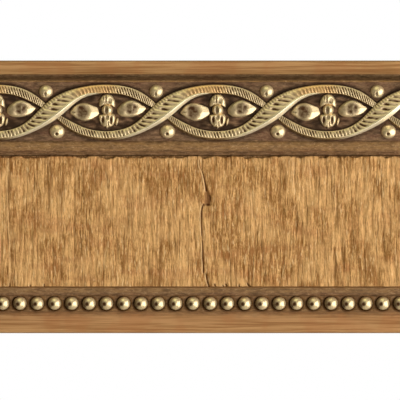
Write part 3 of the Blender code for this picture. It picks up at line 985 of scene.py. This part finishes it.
def add_copy(pattern, name, shift):
    """A copy with its own mesh, moved along and sawn off at the ends."""
    reach = [point.co.x + shift for point in pattern.data.vertices]
    if min(reach) > LENGTH / 2 - NEARLY or max(reach) < NEARLY - LENGTH / 2:
        return
    copy = pattern.copy()
    copy.data = pattern.data.copy()
    copy.name = name
    bpy.context.collection.objects.link(copy)
    copy.data.transform(Matrix.Translation((shift, 0, 0)))
    bpy.ops.object.select_all(action="DESELECT")
    copy.select_set(True)
    bpy.context.view_layer.objects.active = copy
    for side, past in ((1, max(reach)), (-1, -min(reach))):
        if past > LENGTH / 2:
            bpy.ops.object.mode_set(mode="EDIT")
            bpy.ops.mesh.select_all(action="SELECT")
            bpy.ops.mesh.bisect(
                plane_co=(side * LENGTH / 2, 0, 0),
                plane_no=(side, 0, 0),
                use_fill=True,
                clear_outer=True,
                threshold=0.0001 * MM,
            )
            bpy.ops.object.mode_set(mode="OBJECT")
    gilded.append(copy)


def add_repeats(pattern, kind, home):
    """A copy at each crossing of a pattern that was modelled beside its home crossing."""
    for number, crossing in enumerate(crossings()):
        add_copy(pattern, f"{kind}_{number}", crossing - home)
    bpy.data.objects.remove(pattern)


add_repeats(ribbon, "ribbon", 0)
print("Ribbons:", [piece.name for piece in gilded])

# %% [markdown]
# ## Leaves, buds, berries and beads
#
# All of these are low domes with an outline of their own. A ball that faces out is
# pressed into each outline, its back half goes into the body as a root, and dents and
# ridges are pushed into its front. Outlines and dents are picked from the first
# whole flower in the photo, in the photo's pixels. The glaze gathers in the dents, so
# each dent also says how dark it is; on the beads this darkness is also painted shade
# and a painted reflection.

# %% Press a ball into an outline
GLAZE_SPOT = 1.1 * MM


def oval_outline(centre, x_radius, y_radius, lean=0.0, count=24):
    """An oval in the photo's pixels, whose top may lean to the right."""
    outline = []
    for number in range(count):
        angle = 2 * math.pi * number / count
        up = y_radius * math.sin(angle)
        outline.append((centre[0] + x_radius * math.cos(angle) + lean * up, centre[1] - up))
    return outline


def add_dome(
    outline, rise, dents=(), tip=None, base=0.0, ground=FIELD_DEPTH, fullness=2.0, size=(48, 40)
):
    """A dome with an outline and dents, each (depth, x, y, half width, half height, glaze).

    A tip (x, y, height, fall along x, fall off its ridge) cuts two facets at the right.
    """
    bpy.ops.object.select_all(action="DESELECT")
    bpy.ops.mesh.primitive_uv_sphere_add(
        segments=size[0], ring_count=size[1], radius=1, rotation=(math.radians(90), 0, 0)
    )
    dome = bpy.context.object
    dome.name = "pattern"
    bpy.ops.object.transform_apply(location=True, rotation=True, scale=True)
    ball_x, ball_y, ball_z = places_of(dome).T
    corners = np.array(outline)
    middle = (corners.max(0) + corners.min(0)) / 2
    half_size = (corners.max(0) - corners.min(0)) / 2
    spokes = (corners - middle) / half_size
    angle = np.arctan2(ball_z, ball_x)
    reach = np.interp(
        angle, np.arctan2(-spokes[:, 1], spokes[:, 0]), np.hypot(*spokes.T), period=2 * math.pi
    )
    share = np.clip(np.hypot(ball_x, ball_z), 0, 1)
    x_pixel = middle[0] + half_size[0] * share * reach * np.cos(angle)
    y_pixel = middle[1] - half_size[1] * share * reach * np.sin(angle)
    high = base + rise * np.sqrt(np.clip(1 - share**fullness, 0, 1))
    if tip:
        facets = tip[2] - tip[3] * (x_pixel - tip[0]) - tip[4] * np.abs(y_pixel - tip[1])
        high = np.minimum(high, np.maximum(facets, 0.1) * MM)
    glaze_and_shade = np.zeros(len(high))
    on_top = np.clip(-ball_y * 3, 0, 1)
    across, up = on_face(x_pixel, y_pixel)
    uneven = 1 + 0.2 * grain(across, up, GLAZE_SPOT, GLAZE_SPOT, 12.5)
    for deep, x_dent, y_dent, x_size, y_size, dark in dents:
        near = 1 - soft(np.hypot((x_pixel - x_dent) / x_size, (y_pixel - y_dent) / y_size), 0.5, 1.25)
        high = high - deep * MM * near * on_top
        glaze_and_shade = glaze_and_shade + dark * near * uneven
    high = np.where(ball_y > 0.001, base - (base + ROOT_DEPTH) * np.abs(ball_y), high)
    dome.data.vertices.foreach_set("co", np.stack([across, -ground - high, up], 1).ravel())
    # Glaze and painted shade at the dome's foot, where it meets the ground.
    foot = 0.7 * (1 - soft(high, 0.1 * MM, 0.55 * MM + 0.3 * base))
    mark(dome, "hollow", np.clip(glaze_and_shade + foot, 0, 1))
    mark(dome, "pale", np.full(len(high), 0.5))
    mark(dome, "warm", np.zeros(len(high)))
    finish_shape(dome, angle=70)
    return dome


small_oval = oval_outline((0, 0), 3, 2, count=4)
print("An oval of four points:", [tuple(map(round, point)) for point in small_oval])

# %% [markdown]
# ### The flower in each eye
#
# Two leaves lie left and right: the left one is a dark bowl that ends in a bright
# wedge, the right one is mottled and has a bright tip. Between them stand a hood with
# a cleft, a slotted button, and a bud with two claws. A small stroke beside the bud
# comes back in every repeat, so it is part of the pattern.

# %% The flower's parts, in the photo's pixels
LEAF_MESH = (60, 52)

FLOWER = {
    "left_leaf": {
        "size": LEAF_MESH,
        "outline": [
            (69.8, 113.2), (72.0, 109.2), (76.2, 105.0), (80, 103.4), (84.6, 102.9), (90.2, 104.6),
            (94, 106.3), (97.4, 107.7), (98.4, 110.4), (99.3, 113.8), (94.7, 117.4), (89.8, 120.2),
            (84.8, 121.2), (79.9, 119.6), (73.9, 116.4),
        ],
        "rise": 1.9 * MM,
        "fullness": 4.5,
        "tip": (87.5, 112.8, 1.95, 0.12, 0.08),
        "dents": [
            (0.5, 82.6, 111.7, 7.5, 8.8, 0.88),
            (-0.1, 84.8, 113.2, 3.4, 0.9, -0.15),
            (0.08, 80.4, 108.2, 3.4, 2.2, 0.1),
            (0.35, 73.3, 112.4, 2.4, 1.0, 0.6),
        ],
    },
    "right_leaf": {
        "size": LEAF_MESH,
        "outline": [
            (117.2, 109.8), (119.4, 106.2), (123.2, 103.2), (127.1, 100.9), (131.5, 99.9), (137, 101.8),
            (141.9, 105.2), (146.4, 108.3), (144.1, 111.2), (140.8, 114), (135.3, 116.3), (128.2, 117.4),
            (121.6, 116.5), (118, 114),
        ],
        "rise": 2.0 * MM,
        "fullness": 3.6,
        "tip": (135.5, 108.9, 1.9, 0.12, 0.08),
        "dents": [
            (0.3, 131.2, 108.8, 7.2, 7.4, 0.8),
            (0.1, 128.6, 105.6, 3.0, 2.4, 0.15),
            (0.1, 134.8, 107.0, 2.2, 1.8, 0.1),
            (0.1, 128.4, 112.2, 3.0, 2.2, 0.15),
            (-0.08, 131.8, 109.2, 0.9, 4.0, -0.15),
            (0.0, 120.6, 109.6, 4.8, 7.4, 0.5),
        ],
    },
    "hood": {
        "outline": [
            (99.4, 107.2), (99.3, 102.5), (100.9, 98.1), (103.6, 95.0), (107.3, 93.9), (110.8, 94.9),
            (113.6, 98.4), (115, 102.8), (115.2, 107.6), (111.6, 105.6), (107.4, 104.9), (103, 105.4),
        ],
        "rise": 1.7 * MM,
        "fullness": 3.4,
        "dents": [
            (0.4, 105.9, 98.6, 0.8, 4.4, 0.7),
            (0.3, 103.2, 98.4, 1.0, 1.8, 0.5),
            (0.3, 110.0, 100.6, 2.4, 3.4, 0.5),
            (0.1, 106.6, 102.6, 4.4, 1.7, 0.4),
        ],
    },
    "button": {
        "outline": oval_outline((107.3, 110.1), 5.6, 5.6),
        "rise": 2.5 * MM,
        "fullness": 2.6,
        "dents": [(0.45, 106.4, 110.2, 2.0, 5.0, 0.8)],
    },
    "bud": {
        "outline": [
            (99.2, 115.2), (98.9, 118.8), (100.0, 122.2), (101.8, 125.2), (103.9, 127.2), (105.6, 126.8),
            (107.0, 129), (108.6, 127.2), (111.2, 126.9), (113.8, 124.4), (115.3, 120.8), (115.4, 117),
            (114.0, 114.0), (111.6, 113.4), (107.6, 114.4), (102, 114.6),
        ],
        "rise": 1.75 * MM,
        "fullness": 4.0,
        "dents": [
            (0.6, 102.8, 120.0, 1.7, 4.4, 1.0),
            (0.6, 111.1, 120.4, 1.6, 4.8, 1.0),
            (0.35, 108.2, 124.0, 0.6, 3.2, 0.8),
            (0.4, 107.0, 117.8, 2.2, 2.6, 0.6),
        ],
    },
    "stroke": {
        "outline": oval_outline((117.1, 121.8), 1.25, 3.9, lean=0.22),
        "rise": 1.2 * MM,
    },
}
HOME_CROSSING = CROSSING_PHASE - REPEAT

for kind, part in FLOWER.items():
    add_repeats(add_dome(**part), kind, HOME_CROSSING)
print("Gilded pieces so far:", len(gilded))

# %% [markdown]
# ### Berries and beads
#
# A berry is a ball with a dimple at its foot, as if it had been pressed with a stick.
# Each bead is let into its socket a little, and has a small dimple left of its
# middle that is painted dark, a painted reflection, and a patch of painted shade on its left.

# %% Berries beside each crossing, and the bead row
UPPER_BERRY = (46.0, 91.7)
LOWER_BERRY = (57.2, 131.5)
BERRY_MESH = (40, 36)
BEAD_MESH = (32, 28)
BEAD_CENTRE_RISE = 0.5 * MM
CHANNEL_FLOOR_DEPTH = CHANNEL_EDGE_DEPTH - CHANNEL_CUT

BERRIES = {
    "upper_berry": {
        "outline": oval_outline(UPPER_BERRY, 6.9, 6.6),
        "rise": 2.0 * MM,
        "dents": [(0.4, 45.2, 94.2, 1.3, 2.6, 0.7), (0.15, 42, 94, 2.4, 2.4, 0.3)],
    },
    "lower_berry": {
        "outline": oval_outline(LOWER_BERRY, 7.5, 7.1),
        "rise": 2.2 * MM,
        "dents": [(0.6, 56.6, 134.0, 1.7, 1.7, 1.0), (0.15, 53, 129, 2.5, 2.2, 0.2)],
    },
}
for kind, part in BERRIES.items():
    add_repeats(add_dome(size=BERRY_MESH, **part), kind, HOME_CROSSING)

bead_x, bead_y = PHOTO_SIZE / 2, LOWER_EDGE_PIXEL - (BEAD_AXIS - BOTTOM) / PIXEL
# The dimple is painted dark as a painted reflection; the patch on the bead's left is painted shade.
bead_dimple_and_reflection = (0.2, bead_x - 1.9, bead_y + 0.7, 1.7, 2.3, 1.0)
bead_shade = (0.0, bead_x - 5.6, bead_y + 1.4, 3.4, 6.0, 0.7)
bead = add_dome(
    oval_outline((bead_x, bead_y), BEAD_RADIUS / PIXEL, BEAD_RADIUS / PIXEL),
    BEAD_RADIUS,
    [bead_dimple_and_reflection, bead_shade],
    base=BEAD_CENTRE_RISE,
    ground=CHANNEL_FLOOR_DEPTH,
    size=BEAD_MESH,
)
first_bead = math.ceil((-LENGTH / 2 - BEAD_RADIUS - BEAD_PHASE) / BEAD_PITCH)
last_bead = math.floor((LENGTH / 2 + BEAD_RADIUS - BEAD_PHASE) / BEAD_PITCH)
for number in range(first_bead, last_bead + 1):
    add_copy(bead, f"bead_{number - first_bead:02d}", BEAD_PHASE + BEAD_PITCH * number)
bpy.data.objects.remove(bead)
print("Gilded pieces in all:", len(gilded))

# %% [markdown]
# ## Oak and dark paint
#
# The body has one finish, because the real skin is one: the oak shows on the ledges and
# on the panel, and dark paint lies over the bands between, with soft or ragged edges.
# So the oak is mixed first, with its grain along the ledges and across the panel, and
# then the paint is laid over it by how high up a point is. The photo doesn't show the
# back and the sawn ends: they are taken as bare foam, pale and full of fine pores.

# %% Mix the oak
PANEL_TONE = from_screen(190, 136, 74)
PANEL_DARK = from_screen(138, 90, 38)
PANEL_LIGHT = from_screen(234, 183, 121)
PANEL_PALE = from_screen(250, 212, 158)
PANEL_RED = from_screen(176, 112, 66)
LEDGE_TONE = from_screen(197, 150, 100)
LEDGE_DARK = from_screen(144, 96, 50)
EDGE_SHADE_TONE = from_screen(120, 98, 58)
BOTTOM_MM = BOTTOM / MM

oak = Finish("oak_and_dark_paint")
level = oak.z - BOTTOM_MM
panel_mask = level.between(PANEL / MM - 0.1, GROOVE / MM + 0.1, 0.12)

fibres = oak.noise(0.6, 1.0, 4.2, detail=4, rough=0.62)
specks = oak.noise(0.5, 1.0, 0.9, detail=2, rough=0.6, shift=15.0)
streaks = oak.noise(1.6, 2.0, 13.0, detail=3, rough=0.55, shift=4.0, twist=0.3)
strands = oak.noise(1.2, 1.5, 24.0, detail=3, rough=0.6, shift=70.0, twist=0.2)
blots = oak.noise(3.2, 3.0, 3.0, detail=3, shift=12.0)
clouds = oak.noise(10.0, 9.0, 12.0, detail=2, shift=9.0)
bars = oak.noise(22.0, 9.0, 4.0, detail=2, shift=17.0)
dashes = oak.noise(0.45, 1.0, 2.8, detail=1, shift=40.0)
threads = fibres * 0.7 + specks * 0.3
dark_strands = strands.rises(0.56, 0.66)
panel_colour = oak.coats(
    PANEL_DARK,
    (threads.rises(0.38, 0.62), PANEL_LIGHT),
    (0.25, PANEL_TONE),
    (streaks.rises(0.5, 0.66) * 0.6, PANEL_DARK),
    (blots.rises(0.5, 0.66) * 0.2, PANEL_RED),
    (clouds.rises(0.42, 0.58) * 0.55, PANEL_LIGHT),
    (bars.rises(0.52, 0.66) * 0.28, PANEL_RED),
    (dark_strands * 0.4, PANEL_DARK),
    (dashes.rises(0.6, 0.72) * 0.55, PANEL_PALE),
    (dashes.falls(0.3, 0.4) * 0.6, PANEL_DARK),
)

lines = oak.noise(26.0, 2.0, 0.55, detail=3, rough=0.6, shift=2.0)
# Painted shade along the rounded upper and lower edges.
edge_shade = level.falls(0.1, 0.6).larger(level.rises(HEIGHT / MM - 0.6, HEIGHT / MM - 0.1))
ledge_colour = oak.coats(
    LEDGE_TONE,
    (lines.rises(0.38, 0.66) * 0.75, LEDGE_DARK),
    (clouds.rises(0.45, 0.6) * 0.3, PANEL_RED),
    (edge_shade * 0.6, EDGE_SHADE_TONE),
)
wood = oak.blend(panel_mask, ledge_colour, panel_colour)
print("Oak so far:", len(oak.tree.nodes), "nodes")

# %% Lay the dark paint over it
PAINT_TONE = from_screen(130, 98, 72)
PAINT_DARK = from_screen(46, 26, 6)
PAINT_RED = from_screen(118, 74, 54)
FILLET_TONE = from_screen(150, 112, 68)
FLECK_TONE = from_screen(188, 150, 110)
CRACK_SHADE_TONE = from_screen(92, 50, 16)
CHIP_TONE = from_screen(134, 90, 50)
SOCKET_GLAZE_AND_SHADE_TONE = from_screen(70, 40, 6)
FOAM_TONE = from_screen(186, 162, 128)
FOAM_DARK = from_screen(158, 132, 100)
FOAM_ROUGHNESS = 0.85
SKIN_SPECULAR = 0.18
GRAIN_DEPTH = 0.6 * MM

ragged = oak.noise(3.0, 2.0, 1.0, detail=4, shift=6.0) - 0.5
upper_paint = level.between(GROOVE / MM + 0.05, UPPER_LEDGE / MM - 0.15, 0.15)
lower_edge = (level + ragged * 3.0).rises(SKIRT / MM - 0.6, CHANNEL / MM + 1.0)
lower_paint = lower_edge * level.falls(PANEL / MM - 0.2, PANEL / MM - 0.05)
paint_mask = upper_paint.larger(lower_paint)

mottle = oak.noise(4.5, 3.0, 0.9, detail=5, rough=0.66, shift=11.0)
tint = oak.noise(9.0, 6.0, 3.0, detail=2, shift=30.0)
flecks = oak.noise(1.1, 1.0, 0.45, detail=2, shift=21.0).rises(0.58, 0.7)
scuffs = oak.noise(2.2, 2.0, 0.7, detail=5, rough=0.75, shift=60.0)
on_seam = level.between(SEAM / MM, PANEL / MM, 0.2)
on_fillet = level.between(UPPER_FILLET / MM + 0.2, FIELD / MM - 0.3, 0.8)
on_lower_fillet = level.between(SEAM / MM - 1.9, SEAM / MM + 0.4, 0.5)
in_channel = level.between(CHANNEL / MM - 0.6, LOWER_FILLET / MM + 0.4, 0.4)
in_groove = level.between(GROOVE / MM - 1.0, UPPER_FILLET / MM + 0.1, 0.3)
in_cove = level.between(COVE / MM + 0.4, UPPER_LEDGE / MM - 0.7, 0.4)
on_lip = level.between(LIP / MM, COVE / MM, 0.15)
thin_paint_and_highlight = on_fillet.larger(on_lower_fillet * 0.75).larger(in_channel * 0.6)
# Thin paint on the fillets, channel and groove, and on the lip a painted highlight along its edge.
thin_paint_and_highlight = thin_paint_and_highlight.larger(on_lip).larger(in_groove * 0.7)
paint_colour = oak.coats(
    PAINT_TONE,
    (mottle.rises(0.38, 0.62) * 0.55, PAINT_DARK),
    (tint.rises(0.45, 0.65) * 0.35, PAINT_RED),
    ((thin_paint_and_highlight * (2.1 - mottle * 2.7)).clipped(), FILLET_TONE),
    (scuffs.rises(0.48, 0.68) * 0.4, FLECK_TONE),
    (scuffs.falls(0.34, 0.5) * 0.4, PAINT_DARK),
    (flecks * (0.2 + thin_paint_and_highlight * 0.5), FLECK_TONE),
    (on_seam * 0.85, LEDGE_TONE),
    # Dark paint in the cove, and painted shade on its up-facing slope.
    (in_cove * 0.42, PAINT_DARK),
    (oak.attribute("shade") * 0.95, PAINT_DARK),
)

chip_mark = oak.attribute("chip")
colour = oak.coats(
    wood,
    (paint_mask, paint_colour),
    # Glaze and painted shade round the beads, heavier on their left.
    (oak.attribute("socket") * 0.95, SOCKET_GLAZE_AND_SHADE_TONE),
    (oak.attribute("torn") * 0.5, PAINT_DARK),
    # Painted highlight: the left lip of each crack is painted pale.
    (oak.attribute("lip") * 0.6, PANEL_PALE),
    (chip_mark.rises(0.1, 0.5) * 0.8, CHIP_TONE),
    # Painted shade: the chip's deep right side, under its wall, and the cracks are painted dark.
    (chip_mark.rises(0.6, 0.95), CRACK_SHADE_TONE),
    (oak.attribute("crack").rises(0.1, 0.8), CRACK_SHADE_TONE),
)

pores = oak.noise(0.5, 0.5, 0.5, detail=2, shift=50.0)
bare = oak.sawn().larger(oak.y.rises(-0.3, -0.1))
foam = oak.blend(pores.rises(0.35, 0.65), FOAM_DARK, FOAM_TONE)
oak.set("Base Color", oak.blend(bare, colour, foam))
skin_roughness = 0.66 - paint_mask * 0.14 + (fibres - 0.5) * 0.2
oak.set("Roughness", skin_roughness.larger(bare * FOAM_ROUGHNESS))
oak.shader.inputs["Specular IOR Level"].default_value = SKIN_SPECULAR
on_panel_relief = (threads + streaks * 0.7 + blots * 0.5 - dark_strands * 0.3) * panel_mask
relief = on_panel_relief + lines * (1 - panel_mask) * 0.2 + mottle * paint_mask * 0.6
oak.bump(relief * (1 - bare) + pores * bare * 0.3, GRAIN_DEPTH)
body.data.materials.append(oak.material)
print("Oak finish:", len(oak.tree.nodes), "nodes")

# %% [markdown]
# ## Old gold
#
# Gold paint has been rubbed over the raised work, and dark glaze stays in the hollows.
# The mesh knows where its hollows are, because each piece was marked while it was
# shaped. The same marks also carry painted shade at each piece's foot and on the beads'
# left, a painted dark reflection in each bead, and a painted highlight on the round rim.
# Gold shows its colour in what it reflects, so it is metallic where it is clean, and dull
# and brown where glaze and painted shade cover it. A clear coat gives the pale glints.

# %% Mix the gold
GOLD_TONE = from_screen(214, 178, 108)
GOLD_PALE_AND_HIGHLIGHT = from_screen(255, 238, 202)
GOLD_WARM = from_screen(242, 192, 132)
GLAZE_AND_SHADE_TONE = from_screen(70, 38, 4)
GOLD_SPECULAR = 0.25
COAT_ROUGHNESS = 0.25
RUBBING_DEPTH = 0.06 * MM

gold = Finish("antique_gold")
rubbed = gold.noise(0.8, 0.8, 0.8, detail=4, rough=0.6)
patches = gold.noise(3.0, 3.0, 2.4, detail=2, shift=5.0)
hollow = gold.attribute("hollow")
# Glaze, with the painted shade and painted reflection that the marks also carry.
glaze_and_shade = (hollow * 1.1 + (rubbed - 0.58) * 0.6).clipped()
bare = gold.sawn()
gold_colour = gold.coats(
    GOLD_TONE,
    (patches.rises(0.35, 0.65) * 0.4, GOLD_WARM),
    (gold.attribute("warm") * 0.8, GOLD_WARM),
    # Paler gold, and a painted highlight along the ribbon's round rim.
    (gold.attribute("pale"), GOLD_PALE_AND_HIGHLIGHT),
    (glaze_and_shade, GLAZE_AND_SHADE_TONE),
    (bare, FOAM_TONE),
)
gold.set("Base Color", gold_colour)
gold.set("Metallic", (0.6 - glaze_and_shade * 0.5) * (1 - bare))
gold_roughness = 0.34 + glaze_and_shade * 0.3 + (rubbed - 0.5) * 0.2
gold.set("Roughness", gold_roughness.larger(bare * FOAM_ROUGHNESS))
gold.set("Coat Weight", (0.4 - glaze_and_shade * 0.4) * (1 - bare))
gold.shader.inputs["Coat Roughness"].default_value = COAT_ROUGHNESS
gold.shader.inputs["Specular IOR Level"].default_value = GOLD_SPECULAR
gold.bump(rubbed, RUBBING_DEPTH, strength=0.7)
for piece in gilded:
    piece.data.materials.clear()
    piece.data.materials.append(gold.material)
print("Gold finish:", len(gold.tree.nodes), "nodes on", len(gilded), "pieces")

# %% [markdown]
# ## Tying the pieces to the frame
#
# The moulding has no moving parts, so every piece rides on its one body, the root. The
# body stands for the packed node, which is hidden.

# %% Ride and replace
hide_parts("moulding")
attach(body, "root")
for piece in gilded:
    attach(piece, "root")
